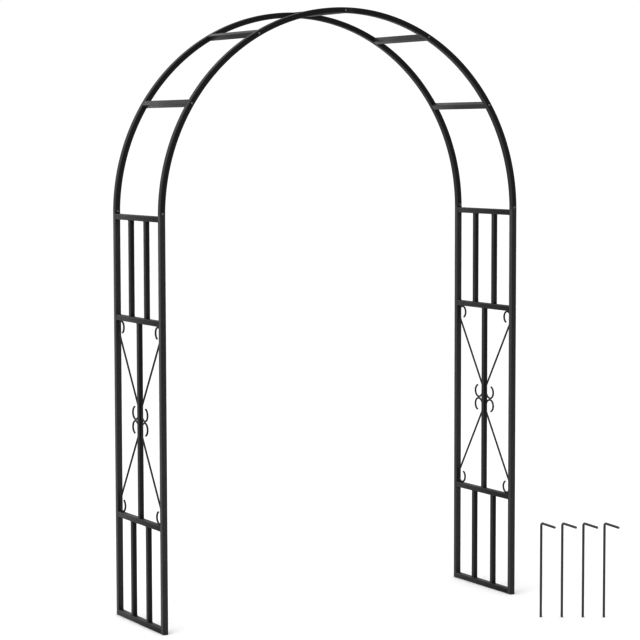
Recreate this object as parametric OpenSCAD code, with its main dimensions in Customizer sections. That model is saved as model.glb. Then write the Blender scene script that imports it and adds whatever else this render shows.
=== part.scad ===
// Free-standing metal trellis arch: two ladder-like side panels, two hoops that
// are each made of two quarter bends, five rungs, their screws, and four
// separate L-shaped ground stakes that stand beside the arch.
// X runs from the left panel to the right one, Y from front to rear, Z up.

/* [Overall size] */
// Width over the outer faces of the two side panels
arch_width = 1400; // [1000:10:2000]
// Depth over the front and rear faces
arch_depth = 384; // [300:2:600]
// Height of the side panels, and of the hoops' spring line
post_height = 1391; // [1000:1:1800]

/* [Frame tubes] */
// Outside size of the square tube of posts, rails, hoops and rungs
tube_size = 19; // [14:0.5:30]
// Wall of that tube
tube_wall = 1.2; // [0.8:0.1:2]
// Outside size of the square tube of the upright bars
bar_size = 16; // [8:0.5:25]
// Wall of the bars
bar_wall = 1; // [0.8:0.1:2]

/* [Panels] */
// Centre distance of the two middle rails, which frame the scrolls
scroll_section = 682; // [500:1:900]
// Centre distance of the two bars in the upper and lower sections
bar_pitch = 124; // [60:1:200]

/* [Scroll rods] */
// Diameter of the round rod
scroll_rod = 6; // [3:0.1:8]
// Radius of the curl in the section's corner, on the rod's axis
corner_curl = 20.5; // [15:0.5:40]
// Radius of the arc that leaves the centre bar, on the rod's axis
heel_curl = 27; // [15:0.5:40]
// Radius of the free curl beside the centre bar, on the rod's axis
centre_curl = 21.5; // [12:0.5:35]
// Height of the diagonal's corner on the bar above the section's middle
bar_corner = 45; // [40:1:80]
// Distance from the corner curl's centre down to the diagonal's corner on the post
post_corner = 17.7; // [8:0.1:40]
// Bend radius of the diagonal's two corners
diagonal_bend = 24; // [5:0.5:25]
// Angle at which the corner curl ends
corner_curl_end = 245; // [180:5:260]
// Angle at which the free curl ends
centre_curl_end = 72; // [30:1:120]

/* [Rungs] */
// Angle between neighbouring rungs, counted from the top one
rung_pitch = 28.7; // [20:0.1:40]
// Thickness of the plate welded into each end of a rung
end_plate = 3; // [2:0.5:6]

/* [Joints] */
// Gap all round between a spigot and the tube that goes over it
spigot_clearance = 0.5; // [0.3:0.05:1]
// Length of the spigot on top of each post
post_spigot = 24; // [15:1:26]
// Half the overlap of the two quarter bends at the top
top_lap = 20; // [12:1:40]
// Wall of the spigots
spigot_wall = 1.2; // [0.8:0.1:2]
// Height of the post screws above the spring line
post_screw_height = 9; // [6:1:18]

/* [Fasteners] */
// Shank diameter of the rung bolts
bolt_d = 5; // [4:0.5:8]
// Shank diameter of the post screws
screw_d = 4; // [3:0.5:6]
// Radial gap of a shank in a plain hole
hole_clearance = 0.25; // [0.1:0.05:0.5]
// Radial gap of a shank in the wall that it is driven into
thread_clearance = 0.05; // [0.02:0.01:0.1]
// Diameter of the bolt and screw heads
head_d = 8; // [6:0.5:12]
// Height of the heads
head_h = 2.4; // [1.5:0.1:4]
// Width across the flats of the hexagon socket
socket_af = 3; // [2:0.5:4]
// Length of a rung bolt that shows past the end plate
bolt_excess = 3; // [1:0.5:8]
// Length of a post screw under its head
screw_length = 8; // [5:0.5:12]

/* [Ground stakes] */
// Diameter of the stake's rod
stake_rod = 8; // [4:0.5:10]
// Overall height of a stake
stake_height = 331; // [200:5:500]
// Reach of the bent top from the shaft's axis
stake_reach = 82; // [50:1:150]
// Angle by which the bent top falls below level
stake_droop = 2.5; // [0:0.5:10]
// Bend radius of the stake, on the rod's axis
stake_bend = 9; // [6:0.5:25]
// Chamfer round the stake's ends
stake_chamfer = 0.8; // [0.2:0.1:2]
// First stake's distance to the right of the arch's middle
stake_x = 558.5; // [0:0.5:900]
// First stake's distance in front of the arch's middle
stake_y = 566; // [320:1:900]
// Sideways step from one stake to the next
stake_step_x = 62.5; // [30:0.1:120]
// Forward step from one stake to the next
stake_step_y = 36.3; // [0:0.1:100]

/* [Hidden] */
$fn = 96;
side_names = ["left", "right"];
end_names = ["front", "rear"];
level_names = ["top", "upper_middle", "lower_middle", "bottom"];
half_names = ["upper", "lower"];
rung_names = ["left_lower", "left_upper", "top", "right_upper", "right_lower"];

panel_x = arch_width / 2 - tube_size / 2;
post_y = arch_depth / 2 - tube_size / 2;
inner_y = arch_depth / 2 - tube_size;
mid_z = post_height / 2;
rail_z = [post_height - tube_size / 2, mid_z + scroll_section / 2,
          mid_z - scroll_section / 2, tube_size / 2];
hoop_r = arch_width / 2 - tube_size / 2;
bore = tube_size - 2 * tube_wall;
spigot = bore - 2 * spigot_clearance;
lap_angle = asin(top_lap / hoop_r);
bolt_hole_r = bolt_d / 2 + hole_clearance;
bolt_thread_r = bolt_d / 2 + thread_clearance;
screw_hole_r = screw_d / 2 + hole_clearance;
screw_thread_r = screw_d / 2 + thread_clearance;
bolt_length = tube_size + end_plate + bolt_excess;

bend_overlap = 1;
bend_relief = 0.05;

// The scroll's path in the panel's plane: u is the distance from the panel's
// middle, v the height above the section's middle.
rod_r = scroll_rod / 2;
u_post = inner_y - rod_r;
v_rail = scroll_section / 2 - tube_size / 2 - rod_r;
u_bar = bar_size / 2 + rod_r;
corner_u = u_post - corner_curl;
corner_v = v_rail - corner_curl;
diagonal_top = corner_v - post_corner;
diagonal_angle = atan((u_post - u_bar) / (diagonal_top - bar_corner));
bend_t = diagonal_bend * tan(diagonal_angle / 2);
heel_u = u_bar + heel_curl;
heel_v = rod_r + heel_curl;
free_v = rod_r + centre_curl;
diagonal_length = (diagonal_top - bar_corner) / cos(diagonal_angle) - 2 * bend_t;

// The stake's bent top in its own plane: leg_u and leg_fall place the bend's end,
// and the leg is thinner by bend_relief where it reaches back into the bend.
leg_rod = stake_rod - 2 * bend_relief;
leg_overlap = bend_overlap / 2;
leg_u = stake_bend * (1 + sin(stake_droop));
leg_fall = stake_bend * (1 - cos(stake_droop));
tip_overhang = (leg_rod / 2 - stake_chamfer) * sin(stake_droop);
leg_length = (stake_reach - tip_overhang - leg_u) / cos(stake_droop);

stakes_right = stake_x + 3 * stake_step_x + stake_rod / 2;
stakes_front = stake_y + 3 * stake_step_y + stake_reach;
left_x = -arch_width / 2;
right_x = max(arch_width / 2, stakes_right);
front_y = -max(arch_depth / 2, stakes_front);
rear_y = arch_depth / 2 + head_h;
origin = [-(left_x + right_x) / 2, -(front_y + rear_y) / 2, 0];

// side 0 is the left panel and 1 the right, end 0 the front and 1 the rear
function sx(side) = 2 * side - 1;
function sy(end) = 2 * end - 1;
function rung_angle(k) = 90 + (2 - k) * rung_pitch;

// Square tube, its middle on the origin, along Z
module tube(length, size, wall) {
    difference() {
        cube([size, size, length], center = true);
        cube([size - 2 * wall, size - 2 * wall, length + 2], center = true);
    }
}

// Post: a tube that necks to a spigot for the hoop's end
module post(side, end) {
    color([0.09, 0.09, 0.095])
    translate([sx(side) * panel_x, sy(end) * post_y, 0])
    difference() {
        union() {
            translate([-tube_size / 2, -tube_size / 2, 0])
                cube([tube_size, tube_size, post_height]);
            translate([-spigot / 2, -spigot / 2, post_height - 1])
                cube([spigot, spigot, post_spigot + 1]);
        }
        translate([-bore / 2, -bore / 2, -1])
            cube([bore, bore, post_height - 2 * tube_wall + 1]);
        translate([-spigot / 2 + spigot_wall, -spigot / 2 + spigot_wall, post_height - 10])
            cube([spigot - 2 * spigot_wall, spigot - 2 * spigot_wall, post_spigot + 20]);
        translate([0, 0, post_height + post_screw_height])
            rotate([90, 0, 0]) cylinder(r = screw_thread_r, h = tube_size);
    }
}

// Rail between the posts of a panel; level 0 is the top one
module rail(side, level) {
    color([0.09, 0.09, 0.095])
    translate([sx(side) * panel_x, 0, rail_z[level]])
        rotate([90, 0, 0]) tube(2 * inner_y, tube_size, tube_wall);
}

// Bar of the upper or lower section, between two rails
module section_bar(side, half, end) {
    length = rail_z[0] - rail_z[1] - tube_size;
    z = half == 0 ? (rail_z[0] + rail_z[1]) / 2 : (rail_z[2] + rail_z[3]) / 2;
    color([0.09, 0.09, 0.095])
    translate([sx(side) * panel_x, sy(end) * bar_pitch / 2, z])
        tube(length, bar_size, bar_wall);
}

// Centre bar of the scroll section
module centre_bar(side) {
    color([0.09, 0.09, 0.095])
    translate([sx(side) * panel_x, 0, mid_z])
        tube(scroll_section - tube_size, bar_size, bar_wall);
}

// Bend of a round rod about [u, v], from angle a to angle b
module rod_arc(u, v, r, a, b, d) {
    translate([u, v, 0])
        rotate_extrude(angle = b - a, start = a)
            translate([r, 0]) circle(d = d);
}

// Straight round rod from [u, v], in the direction of an angle. It is a little
// thinner than the bends at its ends and reaches into them.
module rod_line(u, v, angle, length, d) {
    translate([u, v, 0]) rotate([0, 0, angle]) rotate([0, 90, 0])
        translate([0, 0, -bend_overlap])
            cylinder(d = d - 2 * bend_relief, h = length + 2 * bend_overlap);
}

// One bent rod: corner curl, post run, diagonal, bar run, heel and free curl
module scroll_path() {
    rod_arc(corner_u, corner_v, corner_curl, 0, corner_curl_end, scroll_rod);
    rod_line(u_post, corner_v, -90, post_corner - bend_t, scroll_rod);
    rod_arc(u_post - diagonal_bend, diagonal_top + bend_t, diagonal_bend,
            -diagonal_angle, 0, scroll_rod);
    rod_line(u_post - bend_t * sin(diagonal_angle),
             diagonal_top - bend_t * cos(diagonal_angle),
             -90 - diagonal_angle, diagonal_length, scroll_rod);
    rod_arc(u_bar + diagonal_bend, bar_corner - bend_t, diagonal_bend,
            180 - diagonal_angle, 180, scroll_rod);
    rod_line(u_bar, bar_corner - bend_t, -90,
             bar_corner - bend_t - heel_v, scroll_rod);
    rod_arc(heel_u, heel_v, heel_curl, 180, 270, scroll_rod);
    rod_arc(heel_u, free_v, centre_curl, -90, centre_curl_end, scroll_rod);
}

// Scroll rod; the four of a panel mirror one another
module scroll(side, half, end) {
    color([0.08, 0.08, 0.085])
    translate([sx(side) * panel_x, 0, mid_z])
        mirror([0, 1 - end, 0]) mirror([0, 0, half])
            rotate([90, 0, 90]) scroll_path();
}

// Bent square tube in the hoop's plane, from angle a to angle b
module bent_tube(a, b, size, wall) {
    rotate([90, 0, 0])
    difference() {
        rotate_extrude(angle = b - a, start = a)
            translate([hoop_r - size / 2, -size / 2]) square(size);
        rotate_extrude(angle = b - a + 2, start = a - 1)
            translate([hoop_r - size / 2 + wall, -size / 2 + wall])
                square(size - 2 * wall);
    }
}

// Hole along Y on the hoop's axis at an angle, from y0 to y1
module hoop_hole(angle, r, y0, y1) {
    translate([hoop_r * cos(angle), y1, hoop_r * sin(angle)])
        rotate([90, 0, 0]) cylinder(r = r, h = y1 - y0);
}

// Quarter bend of a hoop; its foot is a straight socket for the post's spigot,
// and the right one carries the spigot of the top lap
module hoop_quarter(end, side) {
    first = side == 0 ? 90 - lap_angle : 0;
    last = side == 0 ? 180 : 90 - lap_angle;
    foot = side == 0 ? 180 : 0;
    color([0.09, 0.09, 0.095])
    translate([0, sy(end) * post_y, post_height])
    difference() {
        union() {
            bent_tube(first, last, tube_size, tube_wall);
            if (side == 1)
                difference() {
                    rotate([90, 0, 0])
                    rotate_extrude(angle = 2.2 * lap_angle, start = 90 - 1.2 * lap_angle)
                        translate([hoop_r - spigot / 2, -spigot / 2]) square(spigot);
                    rotate([90, 0, 0])
                    rotate_extrude(angle = 3 * lap_angle, start = 90 - 1.5 * lap_angle)
                        translate([hoop_r - spigot / 2 + spigot_wall, -spigot / 2 + spigot_wall])
                            square(spigot - 2 * spigot_wall);
                }
            if (side == 1)
                difference() {
                    rotate([90, 0, 0])
                    rotate_extrude(angle = 0.2 * lap_angle, start = 90 - 1.2 * lap_angle)
                        translate([hoop_r - tube_size / 2 + tube_wall / 2, -tube_size / 2 + tube_wall / 2])
                            square(tube_size - tube_wall);
                    rotate([90, 0, 0])
                    rotate_extrude(angle = 3 * lap_angle, start = 90 - 1.5 * lap_angle)
                        translate([hoop_r - spigot / 2 + spigot_wall, -spigot / 2 + spigot_wall])
                            square(spigot - 2 * spigot_wall);
                }
        }
        for (k = [0:4]) hoop_hole(rung_angle(k), bolt_hole_r, -tube_size, tube_size);
        translate([hoop_r * cos(foot) - bore / 2, -bore / 2, -1])
            cube([bore, bore, post_spigot + 2]);
        translate([hoop_r * cos(foot), 0, post_screw_height])
            rotate([90, 0, 0]) cylinder(r = screw_hole_r, h = tube_size);
    }
}

// Rung between the hoops, closed at each end by a plate with a threaded hole
module rung(k) {
    color([0.1, 0.1, 0.105])
    translate([hoop_r * cos(rung_angle(k)), 0, post_height + hoop_r * sin(rung_angle(k))])
        rotate([90, -rung_angle(k), 0])
        difference() {
            cube([tube_size, tube_size, 2 * inner_y], center = true);
            cube([bore, bore, 2 * (inner_y - end_plate)], center = true);
            cylinder(r = bolt_thread_r, h = 2 * inner_y + 2, center = true);
        }
}

// Domed head with a hexagon socket and a plain shank; it points along +Z
module fastener(shank_d, length) {
    socket_r = socket_af / 2 / cos(30);
    difference() {
        union() {
            cylinder(d = shank_d, h = length);
            translate([0, 0, -head_h]) cylinder(d1 = 0.62 * head_d, d2 = head_d, h = 0.65 * head_h);
            translate([0, 0, -0.35 * head_h]) cylinder(d = head_d, h = 0.35 * head_h);
        }
        translate([0, 0, -head_h - 1])
            linear_extrude(1 + 0.6 * head_h)
                polygon([for (i = [0:5]) socket_r * [cos(60 * i), sin(60 * i)]]);
    }
}

// Screws through the front faces of the hoops' four feet
module post_screws() {
    color([0.3, 0.3, 0.31])
    for (side = [0, 1], end = [0, 1])
        translate([sx(side) * panel_x, sy(end) * post_y - tube_size / 2,
                   post_height + post_screw_height])
            rotate([-90, 0, 0]) fastener(screw_d, screw_length);
}

// Bolts through the outer face of one hoop into the rungs' ends
module rung_bolts(end) {
    color([0.3, 0.3, 0.31])
    for (k = [0:4])
        translate([hoop_r * cos(rung_angle(k)), sy(end) * arch_depth / 2,
                   post_height + hoop_r * sin(rung_angle(k))])
            rotate([sy(end) * 90, 0, 0]) fastener(bolt_d, bolt_length);
}

// Chamfered tip of a round rod: it fills one chamfer's height along +Z
module rod_tip(d) {
    cylinder(d1 = d - 2 * stake_chamfer, d2 = d, h = stake_chamfer);
}

// L-shaped ground stake that stands on its tip, its bent top to the front
module ground_stake(k) {
    axis_z = stake_height - stake_rod / 2;
    color([0.11, 0.11, 0.115])
    translate([stake_x + (k - 1) * stake_step_x, -stake_y - (k - 1) * stake_step_y, 0]) {
        rod_tip(stake_rod);
        translate([0, 0, stake_chamfer])
            cylinder(d = stake_rod, h = axis_z - stake_bend - stake_chamfer);
        rotate([90, 0, -90]) {
            rod_arc(stake_bend, axis_z - stake_bend, stake_bend, 90 - stake_droop, 180, stake_rod);
            translate([leg_u, axis_z - leg_fall, 0]) rotate([0, 0, -stake_droop]) rotate([0, 90, 0]) {
                translate([0, 0, -leg_overlap])
                    cylinder(d = leg_rod, h = leg_length - stake_chamfer + leg_overlap);
                translate([0, 0, leg_length]) mirror([0, 0, 1]) rod_tip(leg_rod);
            }
        }
    }
}

translate(origin) {
    for (i = [0, 1], j = [0, 1])
        post(i, j);
    for (i = [0, 1], l = [0:3])
        rail(i, l);
    for (i = [0, 1], h = [0, 1], j = [0, 1])
        section_bar(i, h, j);
    for (i = [0, 1])
        centre_bar(i);
    for (i = [0, 1], h = [0, 1], j = [0, 1])
        scroll(i, h, j);
    for (j = [0, 1], i = [0, 1])
        hoop_quarter(j, i);
    for (k = [0:4])
        rung(k);
    post_screws();
    rung_bolts(0);  // front_rung_bolts
    rung_bolts(1);  // rear_rung_bolts
    for (k = [1:4])
        ground_stake(k);
}
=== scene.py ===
import math

import bpy
import numpy as np
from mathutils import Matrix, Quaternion, Vector


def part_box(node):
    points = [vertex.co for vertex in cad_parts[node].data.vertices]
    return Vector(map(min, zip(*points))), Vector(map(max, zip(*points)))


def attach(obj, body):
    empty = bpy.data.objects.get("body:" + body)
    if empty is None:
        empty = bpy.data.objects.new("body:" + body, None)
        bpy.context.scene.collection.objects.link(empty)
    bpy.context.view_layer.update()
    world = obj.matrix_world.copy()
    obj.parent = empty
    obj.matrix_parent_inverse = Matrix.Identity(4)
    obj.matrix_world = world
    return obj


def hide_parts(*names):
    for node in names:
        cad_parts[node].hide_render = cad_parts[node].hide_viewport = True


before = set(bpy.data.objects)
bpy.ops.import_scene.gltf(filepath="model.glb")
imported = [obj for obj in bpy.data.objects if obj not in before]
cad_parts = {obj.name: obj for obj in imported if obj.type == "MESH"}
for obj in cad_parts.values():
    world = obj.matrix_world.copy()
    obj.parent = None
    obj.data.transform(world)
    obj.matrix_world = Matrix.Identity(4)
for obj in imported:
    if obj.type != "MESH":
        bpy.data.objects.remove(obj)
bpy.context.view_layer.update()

# ---------------------------------------------------------------------------------------------
# Camera, floor and light. The arch stands on a plain pale studio floor. A long lens looks at its
# middle from the left of the walkway, at about eye height, and the light comes from a large
# bright side on the left and from above.
# ---------------------------------------------------------------------------------------------
arch_low, arch_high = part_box("left_front_post")[0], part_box("right_rear_post")[1]
arch_middle = (arch_low + arch_high) / 2
aim_aside = 0.003
aim_height = 1.0105
camera_aim = Vector((arch_middle.x + aim_aside, arch_middle.y, aim_height))
camera_distance = 7.97
camera_azimuth = math.radians(-28.8)
camera_elevation = math.radians(4.59)
camera_roll = math.radians(-0.1)
camera_focal_mm = 127.6
camera_back = Vector((
    math.sin(camera_azimuth) * math.cos(camera_elevation),
    -math.cos(camera_azimuth) * math.cos(camera_elevation),
    math.sin(camera_elevation)))

camera_data = bpy.data.cameras.new("studio_camera")
camera_data.sensor_width = 36.0
camera_data.lens = camera_focal_mm
camera_data.clip_end = 200.0
camera = bpy.data.objects.new("studio_camera", camera_data)
bpy.context.scene.collection.objects.link(camera)
camera.location = camera_aim + camera_distance * camera_back
camera.rotation_mode = "QUATERNION"
camera.rotation_quaternion = (-camera_back).to_track_quat("-Z", "Y") @ Quaternion((0, 0, 1), camera_roll)
bpy.context.scene.camera = camera
contrast_gamma = 0.72
bpy.context.scene.view_settings.view_transform = "Standard"
bpy.context.scene.view_settings.gamma = contrast_gamma

floor_half = 40.0
floor_drop = 0.0003
floor_grey = 0.93
floor_mesh = bpy.data.meshes.new("studio_floor")
floor_mesh.from_pydata(
    [(-floor_half, -floor_half, -floor_drop), (floor_half, -floor_half, -floor_drop),
     (floor_half, floor_half, -floor_drop), (-floor_half, floor_half, -floor_drop)],
    [], [(0, 1, 2, 3)])
floor = bpy.data.objects.new("studio_floor", floor_mesh)
bpy.context.scene.collection.objects.link(floor)
floor_material = bpy.data.materials.new("studio_floor")
floor_material.use_nodes = True
floor_shader = floor_material.node_tree.nodes["Principled BSDF"]
floor_shader.inputs["Base Color"].default_value = (floor_grey, floor_grey, floor_grey, 1)
floor_shader.inputs["Roughness"].default_value = 0.9
floor_shader.inputs["Specular IOR Level"].default_value = 0.1
floor.data.materials.append(floor_material)

# The studio's walls: bright above, behind and to the left, dimmer in front and to the right. A
# direct look at them shows the plain pale backdrop.
wall_direction = (-0.55, 0.35, 0.75)
wall_reach = 0.9
wall_dim = 0.29
wall_bright = 1.62
backdrop = 1.02
world = bpy.data.worlds.new("studio")
bpy.context.scene.world = world
world.use_nodes = True
world_nodes, world_links = world.node_tree.nodes, world.node_tree.links
world_nodes.clear()
world_output = world_nodes.new("ShaderNodeOutputWorld")
world_mix = world_nodes.new("ShaderNodeMixShader")
world_path = world_nodes.new("ShaderNodeLightPath")
world_light = world_nodes.new("ShaderNodeBackground")
world_seen = world_nodes.new("ShaderNodeBackground")
world_coordinates = world_nodes.new("ShaderNodeTexCoord")
world_dot = world_nodes.new("ShaderNodeVectorMath")
world_dot.operation = "DOT_PRODUCT"
world_dot.inputs[1].default_value = wall_direction
world_range = world_nodes.new("ShaderNodeMapRange")
world_range.interpolation_type = "SMOOTHSTEP"
world_range.inputs["From Min"].default_value = -wall_reach
world_range.inputs["From Max"].default_value = wall_reach
world_range.inputs["To Min"].default_value = wall_dim
world_range.inputs["To Max"].default_value = wall_bright
world_seen.inputs["Color"].default_value = (backdrop, backdrop, backdrop, 1)
world_links.new(world_coordinates.outputs["Generated"], world_dot.inputs[0])
world_links.new(world_dot.outputs["Value"], world_range.inputs["Value"])
world_links.new(world_range.outputs["Result"], world_light.inputs["Strength"])
world_links.new(world_path.outputs["Is Camera Ray"], world_mix.inputs["Fac"])
world_links.new(world_light.outputs["Background"], world_mix.inputs[1])
world_links.new(world_seen.outputs["Background"], world_mix.inputs[2])
world_links.new(world_mix.outputs["Shader"], world_output.inputs["Surface"])

softbox_size = 2.6
softbox_place = arch_middle + Vector((-3.6, -2.2, 3.4))
softbox_watts = 70.0
softbox_data = bpy.data.lights.new("left_softbox", "AREA")
softbox_data.size = softbox_size
softbox_data.energy = softbox_watts
softbox = bpy.data.objects.new("left_softbox", softbox_data)
bpy.context.scene.collection.objects.link(softbox)
softbox.location = softbox_place
softbox.rotation_mode = "QUATERNION"
softbox.rotation_quaternion = (arch_middle - softbox_place).to_track_quat("-Z", "Y")

# ---------------------------------------------------------------------------------------------
# Black powder coat. The powder melts to a skin with a faint orange peel, a little thinner and
# smoother on edges, whose lighter colour is a painted highlight. Outdoor stock gathers a trace of
# dust on what faces up, and the same lighter colour there is also painted light from above.
# ---------------------------------------------------------------------------------------------
def new_group(name, inputs, outputs):
    """Empty shader node group with float or vector sockets, given as (name, type) pairs."""
    group = bpy.data.node_groups.new(name, "ShaderNodeTree")
    for socket, kind in inputs:
        group.interface.new_socket(socket, in_out="INPUT", socket_type=kind)
    for socket, kind in outputs:
        group.interface.new_socket(socket, in_out="OUTPUT", socket_type=kind)
    return group, group.nodes.new("NodeGroupInput"), group.nodes.new("NodeGroupOutput")


def math_node(tree, operation, first, second):
    """Math node of two inputs, each a socket or a number; gives its output socket."""
    node = tree.nodes.new("ShaderNodeMath")
    node.operation = operation
    for slot, value in ((0, first), (1, second)):
        if isinstance(value, (int, float)):
            node.inputs[slot].default_value = value
        else:
            tree.links.new(value, node.inputs[slot])
    return node.outputs[0]


def noise_node(tree, vector, scale, detail):
    """Noise texture on a vector socket; gives its value socket, about 0.5 in the mean."""
    node = tree.nodes.new("ShaderNodeTexNoise")
    tree.links.new(vector, node.inputs["Vector"])
    if isinstance(scale, (int, float)):
        node.inputs["Scale"].default_value = scale
    else:
        tree.links.new(scale, node.inputs["Scale"])
    node.inputs["Detail"].default_value = detail
    return node.outputs["Fac"]


peel_wide_scale = 90.0
peel_wide_share = 0.8
peel_group, peel_in, peel_out = new_group(
    "orange_peel",
    [("Vector", "NodeSocketVector"), ("Lumps per metre", "NodeSocketFloat")],
    [("Height", "NodeSocketFloat")])
peel_fine = noise_node(peel_group, peel_in.outputs["Vector"], peel_in.outputs["Lumps per metre"], 2.0)
peel_wide = noise_node(peel_group, peel_in.outputs["Vector"], peel_wide_scale, 1.0)
peel_group.links.new(
    math_node(peel_group, "ADD", peel_fine,
              math_node(peel_group, "MULTIPLY", peel_wide, peel_wide_share)),
    peel_out.inputs["Height"])

# Thin edges: this mask makes the edges smoother, where the coat is thinner, and paints them a lighter colour
# as a painted highlight.
thin_and_sheen_break_scale = 140.0
thin_and_sheen_lift = 0.4
thin_and_sheen_group, thin_and_sheen_in, thin_and_sheen_out = new_group(
    "thin_edges_and_sheen",
    [("Vector", "NodeSocketVector"), ("Edge", "NodeSocketFloat"), ("Amount", "NodeSocketFloat")],
    [("Mask", "NodeSocketFloat")])
thin_and_sheen_breaks = noise_node(thin_and_sheen_group, thin_and_sheen_in.outputs["Vector"], thin_and_sheen_break_scale, 3.0)
thin_and_sheen_group.links.new(
    math_node(
        thin_and_sheen_group, "MULTIPLY",
        math_node(thin_and_sheen_group, "MULTIPLY", thin_and_sheen_in.outputs["Edge"], thin_and_sheen_in.outputs["Amount"]),
        math_node(thin_and_sheen_group, "ADD", thin_and_sheen_breaks, thin_and_sheen_lift)),
    thin_and_sheen_out.inputs["Mask"])

# Dust and painted light: this mask turns upward faces towards a lighter colour, partly a trace of settled
# dust, partly painted light falling from above.
dust_and_top_light_cloud_scale = 16.0
dust_and_top_light_lift = 0.3
dust_and_top_light_group, dust_and_top_light_in, dust_and_top_light_out = new_group(
    "dust_and_top_light",
    [("Vector", "NodeSocketVector"), ("Normal", "NodeSocketVector"), ("Amount", "NodeSocketFloat")],
    [("Mask", "NodeSocketFloat")])
dust_and_top_light_normal = dust_and_top_light_group.nodes.new("ShaderNodeSeparateXYZ")
dust_and_top_light_group.links.new(dust_and_top_light_in.outputs["Normal"], dust_and_top_light_normal.inputs[0])
dust_and_top_light_facing = math_node(dust_and_top_light_group, "MAXIMUM", dust_and_top_light_normal.outputs["Z"], 0.0)
dust_and_top_light_cloud = noise_node(dust_and_top_light_group, dust_and_top_light_in.outputs["Vector"], dust_and_top_light_cloud_scale, 5.0)
dust_and_top_light_group.links.new(
    math_node(
        dust_and_top_light_group, "MULTIPLY",
        math_node(dust_and_top_light_group, "MULTIPLY", dust_and_top_light_facing, dust_and_top_light_in.outputs["Amount"]),
        math_node(dust_and_top_light_group, "ADD", dust_and_top_light_cloud, dust_and_top_light_lift)),
    dust_and_top_light_out.inputs["Mask"])


edge_thinning_and_sheen = 0.55
edge_sheen_lightening = 4.0
edge_smoothing = 0.10
lumps_per_metre = 620.0
peel_strength = 0.35
dust_and_top_light_colour = (0.32, 0.31, 0.29)
dust_dulling = 0.6
cloud_scale = 9.0
grain_scale = 45.0
grain_spread = 0.16


def coat_material(name, deep, light, roughness, specular, peel_height, dust_and_top_light_amount):
    """Powder coat: two near-black tones mixed by a soft cloud, roughness that follows a finer
    cloud, thin edges that are smoother and painted lighter as a painted highlight, dust on top
    whose lighter colour is also painted light from above, and an orange-peel bump."""
    material = bpy.data.materials.new(name)
    material.use_nodes = True
    tree = material.node_tree
    shader = tree.nodes["Principled BSDF"]
    shader.inputs["Specular IOR Level"].default_value = specular
    place = tree.nodes.new("ShaderNodeTexCoord").outputs["Object"]
    edge = tree.nodes.new("ShaderNodeAttribute")
    edge.attribute_name = "edge"
    geometry = tree.nodes.new("ShaderNodeNewGeometry")

    # The thin-edge mask: smoother edges from the thinner coat, and a painted highlight in their colour.
    thin = tree.nodes.new("ShaderNodeGroup")
    thin.node_tree = thin_and_sheen_group
    tree.links.new(place, thin.inputs["Vector"])
    tree.links.new(edge.outputs["Fac"], thin.inputs["Edge"])
    thin.inputs["Amount"].default_value = edge_thinning_and_sheen
    # The dust mask: a trace of dust, and painted light from above on upward faces.
    dust = tree.nodes.new("ShaderNodeGroup")
    dust.node_tree = dust_and_top_light_group
    tree.links.new(place, dust.inputs["Vector"])
    tree.links.new(geometry.outputs["Normal"], dust.inputs["Normal"])
    dust.inputs["Amount"].default_value = dust_and_top_light_amount
    peel = tree.nodes.new("ShaderNodeGroup")
    peel.node_tree = peel_group
    tree.links.new(place, peel.inputs["Vector"])
    peel.inputs["Lumps per metre"].default_value = lumps_per_metre

    def mixed(factor, first, second):
        """Colour mix; first is a colour or a socket, second a colour."""
        mix = tree.nodes.new("ShaderNodeMix")
        mix.data_type = "RGBA"
        tree.links.new(factor, mix.inputs["Factor"])
        if isinstance(first, tuple):
            mix.inputs["A"].default_value = (*first, 1)
        else:
            tree.links.new(first, mix.inputs["A"])
        mix.inputs["B"].default_value = (*second, 1)
        return mix.outputs["Result"]

    body_colour = mixed(noise_node(tree, place, cloud_scale, 4.0), deep, light)
    # The edges' lighter colour is a painted highlight; only their lower roughness comes from the thinner
    # coat.
    edge_sheen_colour = mixed(thin.outputs["Mask"], body_colour, tuple(edge_sheen_lightening * c for c in light))
    # Upward faces take the lighter dust colour: a trace of dust, and painted light from above.
    tree.links.new(mixed(dust.outputs["Mask"], edge_sheen_colour, dust_and_top_light_colour), shader.inputs["Base Color"])
    grain = math_node(tree, "MULTIPLY", noise_node(tree, place, grain_scale, 4.0), grain_spread)
    dull = math_node(tree, "ADD", grain, roughness - grain_spread / 2)
    smoother = math_node(tree, "MULTIPLY", thin.outputs["Mask"], edge_smoothing)
    tree.links.new(
        math_node(tree, "ADD", math_node(tree, "SUBTRACT", dull, smoother),
                  math_node(tree, "MULTIPLY", dust.outputs["Mask"], dust_dulling)),
        shader.inputs["Roughness"])
    bump = tree.nodes.new("ShaderNodeBump")
    bump.inputs["Strength"].default_value = peel_strength
    bump.inputs["Distance"].default_value = peel_height
    tree.links.new(peel.outputs["Height"], bump.inputs["Height"])
    tree.links.new(bump.outputs["Normal"], shader.inputs["Normal"])
    return material


frame_coat = coat_material(
    "frame_coat", deep=(0.0078, 0.0078, 0.0083), light=(0.0145, 0.0145, 0.0152),
    roughness=0.42, specular=0.40, peel_height=0.0001, dust_and_top_light_amount=0.12)

# ---------------------------------------------------------------------------------------------
# Posts: four lengths of thin square steel tube with rolled corners, sawn square at the foot.
# Each one's top is swaged down to a spigot that goes up into a hoop's foot.
# ---------------------------------------------------------------------------------------------
corner_radius = 0.0019
corner_least = 0.0004
corner_steps = 5
edge_strip = 0.0012
tube_wall = 0.0012
rim_radius = 0.0003
spigot_gap = 0.0005
spigot_wall = 0.0012
swage_root = 0.010
swage_taper = 0.002


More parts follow.
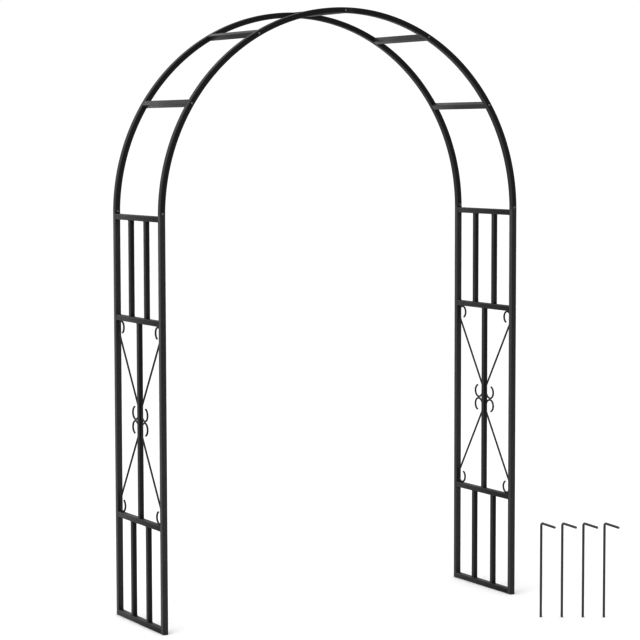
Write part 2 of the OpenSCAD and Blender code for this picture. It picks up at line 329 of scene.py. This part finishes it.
def square_profile(half, inset):
    """Rounded square for each inset: four quarter circles about the corner centres, a support
    point on the flat at either side of each. Gives (rings, n, 2) points and the (n,) edge mask."""
    inset = np.asarray(inset, float)[:, None]
    radius = np.maximum(corner_radius - inset, corner_least)
    centre = half - inset - radius
    quarter = np.linspace(0, math.pi / 2, corner_steps + 1)
    sides = []
    for k in range(4):
        turn = quarter + k * math.pi / 2
        diagonal = (k + 0.5) * math.pi / 2
        sign_x = round(math.sqrt(2) * math.cos(diagonal))
        sign_y = round(math.sqrt(2) * math.sin(diagonal))
        x = sign_x * centre + radius * np.cos(turn)
        y = sign_y * centre + radius * np.sin(turn)
        start, stop = turn[0], turn[-1]
        x = np.hstack([x[:, :1] + edge_strip * math.sin(start), x, x[:, -1:] - edge_strip * math.sin(stop)])
        y = np.hstack([y[:, :1] - edge_strip * math.cos(start), y, y[:, -1:] + edge_strip * math.cos(stop)])
        sides.append(np.stack([x, y], -1))
    mask = np.tile(np.r_[0.0, np.ones(corner_steps + 1), 0.0], 4)
    return np.concatenate(sides, 1), mask


def ring_quads(rings, around, closed):
    """Corner numbers of the quads between neighbouring rings; closed joins the last to the first."""
    here = np.arange(rings if closed else rings - 1)[:, None]
    step = np.arange(around)[None, :]
    after, beside = (here + 1) % rings, (step + 1) % around
    return np.stack([here * around + step, here * around + beside,
                     after * around + beside, after * around + step], -1).reshape(-1, 4)


def turned_out(points, quads, caps):
    """Quads and caps that face outwards. The volume inside is the sum of every face's middle times
    its area vector, over three; where it is negative, all the faces are turned over."""
    seen = points - points.mean(0)
    a, b, c, d = (seen[quads[:, k]] for k in range(4))
    volume = np.einsum("ij,ij->", a + b + c + d, np.cross(c - a, d - b)) / 24
    for cap in caps:
        ring = seen[cap]
        volume += ring.mean(0) @ np.cross(ring, np.roll(ring, -1, 0)).sum(0) / 6
    if volume < 0:
        return quads[:, ::-1], [cap[::-1] for cap in caps]
    return quads, caps


def add_piece(name, points, quads, caps, edge, material, body, slot, *nodes):
    """Mesh object from (n, 3) points, (m, 4) quads and end caps, each a ring of corner numbers,
    with every face turned outwards, the edge mask as an attribute, and its place in the assembly."""
    quads, caps = turned_out(points, quads, caps)
    corners = np.concatenate([quads.ravel(), *caps]).astype(np.int32)
    sizes = np.array([4] * len(quads) + [len(cap) for cap in caps], np.int32)
    mesh = bpy.data.meshes.new(name)
    mesh.vertices.add(len(points))
    mesh.vertices.foreach_set("co", points.astype(np.float32).ravel())
    mesh.loops.add(len(corners))
    mesh.loops.foreach_set("vertex_index", corners)
    mesh.polygons.add(len(sizes))
    mesh.polygons.foreach_set("loop_start", (np.cumsum(sizes) - sizes).astype(np.int32))
    mesh.polygons.foreach_set("use_smooth", np.ones(len(sizes), bool))
    mesh.update(calc_edges=True)
    mesh.attributes.new("edge", "FLOAT", "POINT").data.foreach_set("value", edge.astype(np.float32))
    piece = bpy.data.objects.new(name, mesh)
    bpy.context.scene.collection.objects.link(piece)
    piece.data.materials.append(material)
    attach(piece, body)
    if nodes:
        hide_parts(*nodes)


def quarter_round(station, inset, run, depth):
    """Three rings that turn a rim: from (station, inset) by run along the tube and depth inwards,
    on a quarter ellipse."""
    bend = np.array([0.0, 0.5, 1.0]) * math.pi / 2
    return np.stack([station + run * np.sin(bend), inset + depth * (1 - np.cos(bend))], -1)


def hollow_rings(start, stop, wall, count):
    """(station, inset) of a plain tube's rings: outer wall, rounded rim, inner wall, rounded rim."""
    outer = np.linspace(start + rim_radius, stop - rim_radius, count)
    return np.concatenate([
        np.stack([outer, np.zeros(count)], -1),
        quarter_round(stop - rim_radius, 0.0, rim_radius, rim_radius)[1:],
        np.array([[stop, wall - rim_radius]]),
        np.stack([outer[::-1], np.full(count, wall)], -1),
        np.array([[start, wall - rim_radius]]),
        quarter_round(start + rim_radius, 0.0, -rim_radius, rim_radius)[:0:-1]])


def near_ends(station, reach, *ends):
    """1 on rings whose station is within reach of one of the ends, else 0."""
    return np.any([np.abs(station - end) < reach for end in ends], axis=0).astype(float)


def along_axis(profile, rings, origin, axis, across, up):
    """Point = origin + station * axis + x * across + y * up, for every ring and profile point."""
    origin, axis, across, up = (np.asarray(v, float) for v in (origin, axis, across, up))
    return (origin + rings[:, :1, None].reshape(-1, 1, 1) * axis
            + profile[..., :1] * across + profile[..., 1:] * up)


tube_half = (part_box("left_bottom_rail")[1].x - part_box("left_bottom_rail")[0].x) / 2
panel_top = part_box("left_top_rail")[1].z
spigot_inset = tube_wall + spigot_gap
for side in ("left", "right"):
    for end in ("front", "rear"):
        low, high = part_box(f"{side}_{end}_post")
        rings = np.concatenate([
            quarter_round(rim_radius, 0.0, -rim_radius, rim_radius)[::-1],
            [[panel_top - rim_radius, 0.0]],
            quarter_round(panel_top - rim_radius, 0.0, rim_radius, rim_radius)[1:],
            [[panel_top, spigot_inset], [high.z - rim_radius, spigot_inset]],
            quarter_round(high.z - rim_radius, spigot_inset, rim_radius, rim_radius)[1:],
            [[high.z, spigot_inset + spigot_wall],
             [panel_top - swage_root, spigot_inset + spigot_wall],
             [panel_top - swage_root - swage_taper, tube_wall],
             [rim_radius, tube_wall], [0.0, tube_wall - rim_radius]]])
        profile, corner_mask = square_profile(tube_half, rings[:, 1])
        centre = ((low.x + high.x) / 2, (low.y + high.y) / 2, 0.0)
        points = along_axis(profile, rings, centre, (0, 0, 1), (1, 0, 0), (0, 1, 0))
        rim = near_ends(rings[:, 0], 2 * rim_radius, 0.0, panel_top, high.z)
        edge = np.maximum(corner_mask, rim[:, None])
        add_piece(f"{side}_{end}_post_tube", points.reshape(-1, 3),
                  ring_quads(len(rings), points.shape[1], True), [], edge.ravel(),
                  frame_coat, "arch", "frame_coat", f"{side}_{end}_post")

# ---------------------------------------------------------------------------------------------
# Rails: four lengths of the same tube in each panel, butted between its two posts and welded.
# ---------------------------------------------------------------------------------------------
for side in ("left", "right"):
    for level in ("top", "upper_middle", "lower_middle", "bottom"):
        low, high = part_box(f"{side}_{level}_rail")
        rings = hollow_rings(0.0, high.y - low.y, tube_wall, 2)
        profile, corner_mask = square_profile(tube_half, rings[:, 1])
        centre = ((low.x + high.x) / 2, low.y, (low.z + high.z) / 2)
        points = along_axis(profile, rings, centre, (0, 1, 0), (1, 0, 0), (0, 0, 1))
        edge = np.tile(corner_mask, len(rings))
        add_piece(f"{side}_{level}_rail_tube", points.reshape(-1, 3),
                  ring_quads(len(rings), points.shape[1], True), [], edge.ravel(),
                  frame_coat, "arch", "frame_coat", f"{side}_{level}_rail")

# ---------------------------------------------------------------------------------------------
# Upright bars: a lighter square tube. Two stand in the upper and lower section of each panel,
# one in the middle section, all butted between the rails and welded all round.
# ---------------------------------------------------------------------------------------------
bar_wall = 0.001
bar_names = [f"{half}_{end}_bar" for half in ("upper", "lower") for end in ("front", "rear")] + ["centre_bar"]
for side in ("left", "right"):
    for bar in bar_names:
        low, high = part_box(f"{side}_{bar}")
        bar_half = (high.x - low.x) / 2
        rings = hollow_rings(0.0, high.z - low.z, bar_wall, 2)
        profile, corner_mask = square_profile(bar_half, rings[:, 1])
        centre = ((low.x + high.x) / 2, (low.y + high.y) / 2, low.z)
        points = along_axis(profile, rings, centre, (0, 0, 1), (1, 0, 0), (0, 1, 0))
        edge = np.tile(corner_mask, len(rings))
        add_piece(f"{side}_{bar}_tube", points.reshape(-1, 3),
                  ring_quads(len(rings), points.shape[1], True), [], edge.ravel(),
                  frame_coat, "arch", "frame_coat", f"{side}_{bar}")

# ---------------------------------------------------------------------------------------------
# Scroll rods: four bent round rods in the middle section of each panel. From its corner curl a
# rod runs down the post, crosses to the centre bar, and curls away from it on a wider heel.
# ---------------------------------------------------------------------------------------------
corner_curl = 0.0205
heel_curl = 0.027
centre_curl = 0.0215
diagonal_bend = 0.024
bar_corner = 0.045
post_corner = 0.0177
corner_curl_end = math.radians(245)
centre_curl_end = math.radians(72)
rod_chamfer = 0.0005
rod_sides = 20
arc_step = math.radians(5)


def arc_points(centre, radius, start, stop):
    """Points every 5 degrees or less on a circle about centre, from one angle to another."""
    count = max(3, int(abs(stop - start) / arc_step) + 2)
    turn = np.linspace(start, stop, count)
    return np.stack([centre[0] + radius * np.cos(turn), centre[1] + radius * np.sin(turn)], -1)


def join_path(*pieces):
    """One run of points out of several, with the repeated point at each join left out."""
    path = [pieces[0]]
    for piece in pieces[1:]:
        path.append(piece[1:] if np.allclose(piece[0], path[-1][-1], atol=1e-7) else piece)
    return np.concatenate(path)


def planar_rod(path, radius, axis_u, axis_v, origin, sides):
    """Round rod along a flat path of (u, v) points: a circle of the given radius, one value a
    point, across the path's tangent. Gives (points, sides, 3)."""
    axis_u, axis_v, origin = (np.asarray(v, float) for v in (axis_u, axis_v, origin))
    tangent = np.gradient(path, axis=0)
    tangent /= np.linalg.norm(tangent, axis=1)[:, None]
    beside = np.stack([tangent[:, 1], -tangent[:, 0]], -1)
    across = beside[:, :1] * axis_u + beside[:, 1:] * axis_v
    out_of_plane = np.cross(axis_u, axis_v)
    centre = origin + path[:, :1] * axis_u + path[:, 1:] * axis_v
    turn = np.linspace(0, 2 * math.pi, sides, endpoint=False)
    radius = np.broadcast_to(radius, len(path))[:, None, None]
    return centre[:, None] + radius * (np.cos(turn)[None, :, None] * across[:, None]
                                       + np.sin(turn)[None, :, None] * out_of_plane)


def end_caps(rings, around):
    """The first and last ring as closed faces."""
    first = np.arange(around)[::-1]
    return [first, (rings - 1) * around + first[::-1]]


def eased_ends(path, radius, ease):
    """The path with its end points doubled by an inset point, and radii that make a small chamfer."""
    head = path[0] + (path[1] - path[0]) / np.linalg.norm(path[1] - path[0]) * ease
    tail = path[-1] + (path[-2] - path[-1]) / np.linalg.norm(path[-2] - path[-1]) * ease
    radii = np.r_[radius - ease, np.full(len(path), radius), radius - ease]
    return np.concatenate([path[:1], [head], path[1:-1], [tail], path[-1:]]), radii


def scroll_path(rod, post_face, rail_face, bar_face):
    """(u, v) points of a scroll rod's axis. u is the distance from the panel's middle and v the
    height above the section's middle; the faces are those that the rod lies against."""
    u_post, v_rail, u_bar = post_face - rod, rail_face - rod, bar_face + rod
    corner = (u_post - corner_curl, v_rail - corner_curl)
    diagonal_top = corner[1] - post_corner
    lean = math.atan((u_post - u_bar) / (diagonal_top - bar_corner))
    reach = diagonal_bend * math.tan(lean / 2)
    heel = (u_bar + heel_curl, rod + heel_curl)
    return join_path(
        arc_points(corner, corner_curl, corner_curl_end, 0),
        arc_points((u_post - diagonal_bend, diagonal_top + reach), diagonal_bend, 0, -lean),
        arc_points((u_bar + diagonal_bend, bar_corner - reach), diagonal_bend, math.pi - lean, math.pi),
        arc_points(heel, heel_curl, math.pi, 1.5 * math.pi),
        arc_points((heel[0], rod + centre_curl), centre_curl, -math.pi / 2, centre_curl_end))


rod_low, rod_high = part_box("left_upper_rear_scroll")
rod_radius = (rod_high.x - rod_low.x) / 2
section_middle = (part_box("left_upper_middle_rail")[0].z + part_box("left_lower_middle_rail")[1].z) / 2
rail_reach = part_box("left_upper_middle_rail")[0].z - section_middle
post_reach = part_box("left_top_rail")[1].y - arch_middle.y
bar_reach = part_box("left_centre_bar")[1].y - arch_middle.y
scroll_axis = scroll_path(rod_radius, post_reach, rail_reach, bar_reach)
scroll_line, scroll_radii = eased_ends(scroll_axis, rod_radius, rod_chamfer)
for side in ("left", "right"):
    for half, up in (("upper", 1), ("lower", -1)):
        for end, out in (("front", -1), ("rear", 1)):
            low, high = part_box(f"{side}_{half}_{end}_scroll")
            origin = ((low.x + high.x) / 2, arch_middle.y, section_middle)
            points = planar_rod(scroll_line, scroll_radii, (0, out, 0), (0, 0, up), origin, rod_sides)
            count = len(scroll_line)
            add_piece(f"{side}_{half}_{end}_scroll_rod", points.reshape(-1, 3),
                      ring_quads(count, rod_sides, False), end_caps(count, rod_sides),
                      np.repeat(scroll_radii < rod_radius, rod_sides).astype(float),
                      frame_coat, "arch", "frame_coat", f"{side}_{half}_{end}_scroll")

# ---------------------------------------------------------------------------------------------
# Hoops: each is two quarter bends of the square tube. The feet slip over the posts' spigots, and
# at the top the right quarter's spigot runs into the left one, which ends in a fine seam.
# ---------------------------------------------------------------------------------------------
hoop_step = math.radians(1.5)
lap_root = 1.2
spring_line = panel_top
hoop_radius = (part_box("right_front_post")[1].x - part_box("left_front_post")[0].x) / 2 - tube_half
lap_angle = math.asin((arch_middle.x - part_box("front_hoop_left_quarter")[1].x) / -hoop_radius)


def along_arc(profile, rings, centre, radius):
    """Point = centre + (radius + x) * (cos a, 0, sin a) + y * (0, 1, 0), where a is a ring's angle."""
    angle = rings[:, 0][:, None]
    reach = radius + profile[..., 0]
    return np.stack([centre[0] + reach * np.cos(angle),
                     centre[1] + profile[..., 1],
                     centre[2] + reach * np.sin(angle)], -1)


def arc_rings(start, stop, wall, radius):
    """(angle, inset) of a bent hollow tube's rings, with rounded rims of the tube's own radius."""
    rim = rim_radius / radius
    count = int((stop - start) / hoop_step) + 2
    outer = np.linspace(start + rim, stop - rim, count)
    inner = np.linspace(stop - rim, start + rim, count // 2)
    return np.concatenate([
        np.stack([outer, np.zeros(count)], -1),
        quarter_round(stop - rim, 0.0, rim, rim_radius)[1:],
        [[stop, wall - rim_radius]],
        np.stack([inner, np.full(len(inner), wall)], -1),
        [[start, wall - rim_radius]],
        quarter_round(start + rim, 0.0, -rim, rim_radius)[:0:-1]])


for end in ("front", "rear"):
    low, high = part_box(f"{end}_hoop_left_quarter")
    centre = (arch_middle.x, (low.y + high.y) / 2, spring_line)
    lap = math.pi / 2 - lap_angle
    for side, start, stop in (("left", lap, math.pi), ("right", 0.0, lap)):
        rings = arc_rings(start, stop, tube_wall, hoop_radius)
        profile, corner_mask = square_profile(tube_half, rings[:, 1])
        points = along_arc(profile, rings, centre, hoop_radius)
        rim = near_ends(rings[:, 0], 1.5 * rim_radius / hoop_radius, start, stop)
        edge = np.maximum(corner_mask, rim[:, None]) * (rings[:, 1:] < tube_wall)
        add_piece(f"{end}_hoop_{side}_bend", points.reshape(-1, 3),
                  ring_quads(len(rings), points.shape[1], True), [], edge.ravel(),
                  frame_coat, "arch", "frame_coat", f"{end}_hoop_{side}_quarter")
    spigot_rings = arc_rings(math.pi / 2 - lap_root * lap_angle, math.pi / 2 + lap_angle,
                             spigot_wall, hoop_radius)
    profile, corner_mask = square_profile(tube_half - spigot_inset, spigot_rings[:, 1])
    points = along_arc(profile, spigot_rings, centre, hoop_radius)
    add_piece(f"{end}_hoop_lap_spigot", points.reshape(-1, 3),
              ring_quads(len(spigot_rings), points.shape[1], True), [], np.zeros(points[..., 0].size),
              frame_coat, "arch", "frame_coat")

# ---------------------------------------------------------------------------------------------
# Rungs: five lengths of the square tube between the hoops, turned so that a flat side faces
# outwards. A plate welded into each end takes the bolt that comes through the hoop.
# ---------------------------------------------------------------------------------------------
plate_depth = 0.0004
rung_names = ("left_lower", "left_upper", "top", "right_upper", "right_lower")
for name in rung_names:
    low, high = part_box(f"{name}_rung")
    middle = (low + high) / 2
    outward = Vector((middle.x - arch_middle.x, 0, middle.z - spring_line)).normalized()
    length = high.y - low.y
    rings = np.concatenate([
        [[plate_depth, tube_wall], [0.0, tube_wall - rim_radius]],
        quarter_round(rim_radius, 0.0, -rim_radius, rim_radius)[::-1],
        [[length / 2, 0.0]],
        quarter_round(length - rim_radius, 0.0, rim_radius, rim_radius),
        [[length, tube_wall - rim_radius], [length - plate_depth, tube_wall]]])
    profile, corner_mask = square_profile(tube_half, rings[:, 1])
    points = along_axis(profile, rings, (middle.x, low.y, middle.z), (0, 1, 0),
                        outward, (-outward.z, 0, outward.x))
    rim = near_ends(rings[:, 0], 2 * rim_radius, 0.0, length)
    edge = np.maximum(corner_mask, rim[:, None])
    around = points.shape[1]
    add_piece(f"{name}_rung_tube", points.reshape(-1, 3), ring_quads(len(rings), around, False),
              end_caps(len(rings), around), edge.ravel(),
              frame_coat, "arch", "frame_coat", f"{name}_rung")

# ---------------------------------------------------------------------------------------------
# Welds: a small rippled bead runs round every rail's end and every bar's end, and short tacks
# hold the scroll rods to the rails, posts and bars. All of it is under the same black coat.
# ---------------------------------------------------------------------------------------------
ripple_pitch = 0.0022
ripple_height = 0.10
bead_sides = 10
tack_size = (0.0040, 0.0016, 0.0016)
tack_flat = 0.12
tack_rings = 11
tack_sides = 14
tack_ripple = 0.05
tack_ripples = 6


def weld_ring(half, bead, sunk, place, axis, across, up):
    """Bead round a square tube's end: a circle of radius bead * (1 + ripple) carried round the
    rounded square. sunk says how deep its middle lies under the side, top and bottom faces."""
    side_steps = int(2 * half / ripple_pitch) * 4
    profile, _ = square_profile(half, [0.0])
    corners = profile[0]
    loop = np.concatenate([corners, corners[:1]])
    steps = np.linalg.norm(np.diff(loop, axis=0), axis=1)
    length = np.concatenate([[0.0], np.cumsum(steps)])
    count = 4 * side_steps
    walk = np.linspace(0.0, length[-1], count, endpoint=False)
    x, y = np.interp(walk, length, loop[:, 0]), np.interp(walk, length, loop[:, 1])
    ahead = np.stack([np.roll(x, -1) - np.roll(x, 1), np.roll(y, -1) - np.roll(y, 1)], -1)
    ahead /= np.linalg.norm(ahead, axis=1)[:, None]
    normal = np.stack([ahead[:, 1], -ahead[:, 0]], -1)
    normal *= np.sign((normal * np.stack([x, y], -1)).sum(1))[:, None]
    radius = bead * (1 - ripple_height + ripple_height * np.abs(np.sin(math.pi * walk / ripple_pitch)))
    depth = (sunk[0] * normal[:, 0] ** 2 + sunk[1] * np.maximum(normal[:, 1], 0) ** 2
             + sunk[2] * np.minimum(normal[:, 1], 0) ** 2)
    turn = np.linspace(0, 2 * math.pi, bead_sides, endpoint=False)
    axis, across, up, place = (np.asarray(v, float) for v in (axis, across, up, place))
    out = normal[:, :1] * across + normal[:, 1:] * up
    centre = place + x[:, None] * across + y[:, None] * up - depth[:, None] * out
    ring = (np.cos(turn)[None, :, None] * out[:, None] + np.sin(turn)[None, :, None] * axis)
    return centre[:, None] + radius[:, None, None] * ring


def tack(place, along, across, up, size):
    """Weld tack: a sphere drawn out to half lengths size along three axes, with soft ripples. It
    starts and stops tack_flat short of the poles, where a small face closes it."""
    along_turn = np.linspace(tack_flat, math.pi - tack_flat, tack_rings)[:, None]
    round_turn = np.linspace(0, 2 * math.pi, tack_sides, endpoint=False)[None, :]
    swell = 1 + tack_ripple * np.cos(tack_ripples * along_turn) * np.ones_like(round_turn)
    length = -size[0] * np.cos(along_turn) * np.ones_like(round_turn)
    wide = size[1] * swell * np.sin(along_turn) * np.cos(round_turn)
    high = size[2] * swell * np.sin(along_turn) * np.sin(round_turn)
    along, across, up, place = (np.asarray(v, float) for v in (along, across, up, place))
    return place + length[..., None] * along + wide[..., None] * across + high[..., None] * up


def joined(grids, capped):
    """Several closed grids of points as one run of points, quads and caps, each turned outwards by
    itself. A capped grid is closed by its first and last ring, any other by joining them."""
    points, quads, caps, start = [], [], [], 0
    for grid in grids:
        rings, around = grid.shape[:2]
        flat = grid.reshape(-1, 3)
        faces, ends = turned_out(flat, ring_quads(rings, around, not capped),
                                 end_caps(rings, around) if capped else [])
        points.append(flat)
        quads.append(faces + start)
        caps += [end + start for end in ends]
        start += rings * around
    return np.concatenate(points), np.concatenate(quads), caps


rail_bead = 0.0017
rail_flush = 0.0016
rail_ground = 0.0019
bar_bead = 0.0014
for side in ("left", "right"):
    rings = []
    for level in ("top", "upper_middle", "lower_middle", "bottom"):
        low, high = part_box(f"{side}_{level}_rail")
        sunk = (rail_flush, rail_ground * (level == "top"), rail_ground * (level == "bottom"))
        for y in (low.y, high.y):
            rings.append(weld_ring(tube_half, rail_bead, sunk,
                                   ((low.x + high.x) / 2, y, (low.z + high.z) / 2),
                                   (0, 1, 0), (1, 0, 0), (0, 0, 1)))
    points, quads, caps = joined(rings, False)
    add_piece(f"{side}_rail_welds", points, quads, caps, np.zeros(len(points)),
              frame_coat, "arch", "frame_coat")
    rings = []
    for bar in bar_names:
        low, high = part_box(f"{side}_{bar}")
        for z in (low.z, high.z):
            rings.append(weld_ring((high.x - low.x) / 2, bar_bead, (0.0, 0.0, 0.0),
                                   ((low.x + high.x) / 2, (low.y + high.y) / 2, z),
                                   (0, 0, 1), (1, 0, 0), (0, 1, 0)))
    points, quads, caps = joined(rings, False)
    add_piece(f"{side}_bar_welds", points, quads, caps, np.zeros(len(points)),
              frame_coat, "arch", "frame_coat")

corner_u, corner_v = post_reach - rod_radius - corner_curl, rail_reach - rod_radius - corner_curl
heel_u = bar_reach + rod_radius + heel_curl
post_tack_drop = 0.004
bar_tack_height = (bar_corner + heel_curl) / 2
for side in ("left", "right"):
    low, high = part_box(f"{side}_upper_front_scroll")
    panel_x = (low.x + high.x) / 2
    lumps = []
    for out in (-1, 1):
        for up in (-1, 1):
            for u, v, lies_level in ((corner_u, rail_reach, True),
                                     (post_reach, corner_v - post_tack_drop, False),
                                     (bar_reach, bar_tack_height, False)):
                along, across = ((0, 1, 0), (0, 0, 1)) if lies_level else ((0, 0, 1), (0, 1, 0))
                lumps.append(tack((panel_x, arch_middle.y + out * u, section_middle + up * v),
                                  along, (1, 0, 0), across, tack_size))
        lumps.append(tack((panel_x, arch_middle.y + out * heel_u, section_middle),
                          (0, 1, 0), (1, 0, 0), (0, 0, 1), tack_size))
    points, quads, caps = joined(lumps, True)
    add_piece(f"{side}_scroll_tacks", points, quads, caps, np.zeros(len(points)),
              frame_coat, "arch", "frame_coat")

# ---------------------------------------------------------------------------------------------
# Fasteners: dull zinc-plated button-head screws with a hexagon socket. One holds each hoop's foot
# on its post, and one goes through each hoop into the end plate of each rung.
# ---------------------------------------------------------------------------------------------
screw_sides = 48
socket_half = 0.0015
socket_share = 0.6
socket_rim = 0.0001
socket_flare = 1.08
crown_start = 1.25
crown_share = 0.30
rim_share = 0.15
thread_pitch = 0.0008
thread_depth = 0.0003
thread_start = 0.001
thread_short = 0.002
tip_height = 0.0005
tip_taper = 0.0008
post_screw_radius = 0.002
rung_bolt_radius = 0.0025
plating_cloud_scale = 900.0
plating_grain_scale = 2400.0
plating_smooth = 0.28
plating_grain_spread = 0.25

plating = bpy.data.materials.new("fasteners")
plating.use_nodes = True
plating_tree = plating.node_tree
plating_shader = plating_tree.nodes["Principled BSDF"]
plating_shader.inputs["Metallic"].default_value = 1.0
plating_place = plating_tree.nodes.new("ShaderNodeTexCoord").outputs["Object"]
plating_mix = plating_tree.nodes.new("ShaderNodeMix")
plating_mix.data_type = "RGBA"
plating_mix.inputs["A"].default_value = (0.16, 0.16, 0.165, 1)
plating_mix.inputs["B"].default_value = (0.30, 0.30, 0.31, 1)
plating_tree.links.new(
    noise_node(plating_tree, plating_place, plating_cloud_scale, 3.0), plating_mix.inputs["Factor"])
plating_tree.links.new(plating_mix.outputs["Result"], plating_shader.inputs["Base Color"])
plating_grain = noise_node(plating_tree, plating_place, plating_grain_scale, 2.0)
plating_tree.links.new(
    math_node(plating_tree, "ADD",
              math_node(plating_tree, "MULTIPLY", plating_grain, plating_grain_spread), plating_smooth),
    plating_shader.inputs["Roughness"])
plating_bump = plating_tree.nodes.new("ShaderNodeBump")
plating_bump.inputs["Strength"].default_value = 0.25
plating_bump.inputs["Distance"].default_value = 0.00003
plating_tree.links.new(plating_grain, plating_bump.inputs["Height"])
plating_tree.links.new(plating_bump.outputs["Normal"], plating_shader.inputs["Normal"])


def button_screw(seat, outward, head_radius, head_height, shank_radius, shank_length):
    """Rings (height, radius, hexagon share) turned about the outward axis: socket floor and wall,
    a domed crown, a rounded rim, then the shank with thread grooves and a chamfered tip."""
    dome = np.linspace(0.0, math.pi / 2, 8)[1:]
    crown_reach = head_radius - crown_start * socket_half
    rim = crown_share * head_height
    head = np.concatenate([
        [[head_height * (1 - socket_share), socket_half, 1.0],
         [head_height - socket_rim, socket_half, 1.0],
         [head_height, socket_flare * socket_half, 1.0]],
        np.stack([rim + (head_height - rim) * np.cos(dome),
                  crown_start * socket_half + crown_reach * np.sin(dome), np.zeros(len(dome))], -1),
        [[rim_share * rim, head_radius, 0.0], [0.0, head_radius - rim_share * rim, 0.0],
         [0.0, shank_radius, 0.0]]])
    turns = int((shank_length - thread_short) / thread_pitch)
    groove = np.tile([0.0, thread_depth], turns)
    thread = np.stack([-thread_start - np.arange(2 * turns) * thread_pitch / 2,
                       shank_radius - groove, np.zeros(2 * turns)], -1)
    tip = [[-shank_length + tip_height, shank_radius - thread_depth, 0.0],
           [-shank_length, shank_radius - tip_taper, 0.0]]
    rings = np.concatenate([head, thread, tip])
    turn = np.linspace(0, 2 * math.pi, screw_sides, endpoint=False)
    sixth = math.pi / 3
    hexagon = 1 / np.cos((turn + sixth / 2) % sixth - sixth / 2)
    radius = rings[:, 1:2] * (1 + rings[:, 2:] * (hexagon - 1))
    seat, outward = np.asarray(seat, float), np.asarray(outward, float)
    return (seat + rings[:, :1, None] * outward
            + (radius * np.cos(turn))[..., None] * np.array([1.0, 0, 0])
            + (radius * np.sin(turn))[..., None] * np.array([0, 0, 1.0]))


screw_low, screw_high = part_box("post_screws")
head_radius = (screw_high.z - screw_low.z) / 2
hoop_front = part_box("front_hoop_left_quarter")[0].y
hoop_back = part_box("rear_hoop_left_quarter")[1].y
head_height = hoop_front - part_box("front_rung_bolts")[0].y
screw_length = screw_high.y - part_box("rear_hoop_left_quarter")[0].y
bolt_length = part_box("front_rung_bolts")[1].y - hoop_front
groups = {"post_screws": [
    button_screw(((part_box(f"{side}_{end}_post")[0].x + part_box(f"{side}_{end}_post")[1].x) / 2,
                  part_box(f"{end}_hoop_{side}_quarter")[0].y, (screw_low.z + screw_high.z) / 2),
                 (0, -1, 0), head_radius, head_height, post_screw_radius, screw_length)
    for side in ("left", "right") for end in ("front", "rear")]}
for group, face, outward in (("front_rung_bolts", hoop_front, -1), ("rear_rung_bolts", hoop_back, 1)):
    middles = [sum(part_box(f"{name}_rung"), Vector()) / 2 for name in rung_names]
    groups[group] = [button_screw((middle.x, face, middle.z), (0, outward, 0), head_radius, head_height,
                                  rung_bolt_radius, bolt_length) for middle in middles]
for group, screws in groups.items():
    points, quads, caps = joined(screws, True)
    add_piece(f"{group}_button_heads", points, quads, caps, np.zeros(len(points)),
              plating, "arch", "fasteners", group)

# ---------------------------------------------------------------------------------------------
# Ground stakes: four lengths of round rod, coated black, with a short leg at the top, bent a
# little past square, that is pushed down with a foot. Each stands on its own beside the arch.
# ---------------------------------------------------------------------------------------------
stake_bend = 0.009
stake_chamfer = 0.0008
stake_droop = math.radians(2.5)
# Painted light: the stakes wear the same black coat as the frame, but its base colours are made several times
# lighter to stand in for more light falling on the stakes.
stake_coat = coat_material(
    "stake_coat", deep=(0.038, 0.038, 0.039), light=(0.058, 0.058, 0.060),
    roughness=0.44, specular=0.5, peel_height=0.0001, dust_and_top_light_amount=0.06)
for number in range(1, 5):
    low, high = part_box(f"ground_stake_{number}")
    stake_radius = (high.x - low.x) / 2
    axis_top = high.z - stake_radius
    tip_overhang = (stake_radius - stake_chamfer) * math.sin(stake_droop)
    reach = high.y - stake_radius - low.y - tip_overhang
    bend_end = stake_bend * (1 + math.sin(stake_droop))
    bend_fall = stake_bend * (1 - math.cos(stake_droop))
    leg_fall = (reach - bend_end) * math.tan(stake_droop)
    path = join_path(
        np.array([[0.0, 0.0], [0.0, axis_top / 2], [0.0, axis_top - stake_bend]]),
        arc_points((stake_bend, axis_top - stake_bend), stake_bend, math.pi, math.pi / 2 - stake_droop),
        np.array([[bend_end, axis_top - bend_fall], [reach, axis_top - bend_fall - leg_fall]]))
    line, radii = eased_ends(path, stake_radius, stake_chamfer)
    points = planar_rod(line, radii, (0, -1, 0), (0, 0, 1),
                        ((low.x + high.x) / 2, high.y - stake_radius, 0.0), rod_sides)
    add_piece(f"ground_stake_{number}_rod", points.reshape(-1, 3),
              ring_quads(len(line), rod_sides, False), end_caps(len(line), rod_sides),
              np.repeat(radii < stake_radius, rod_sides).astype(float),
              stake_coat, f"stake_{number}", "stake_coat", f"ground_stake_{number}")
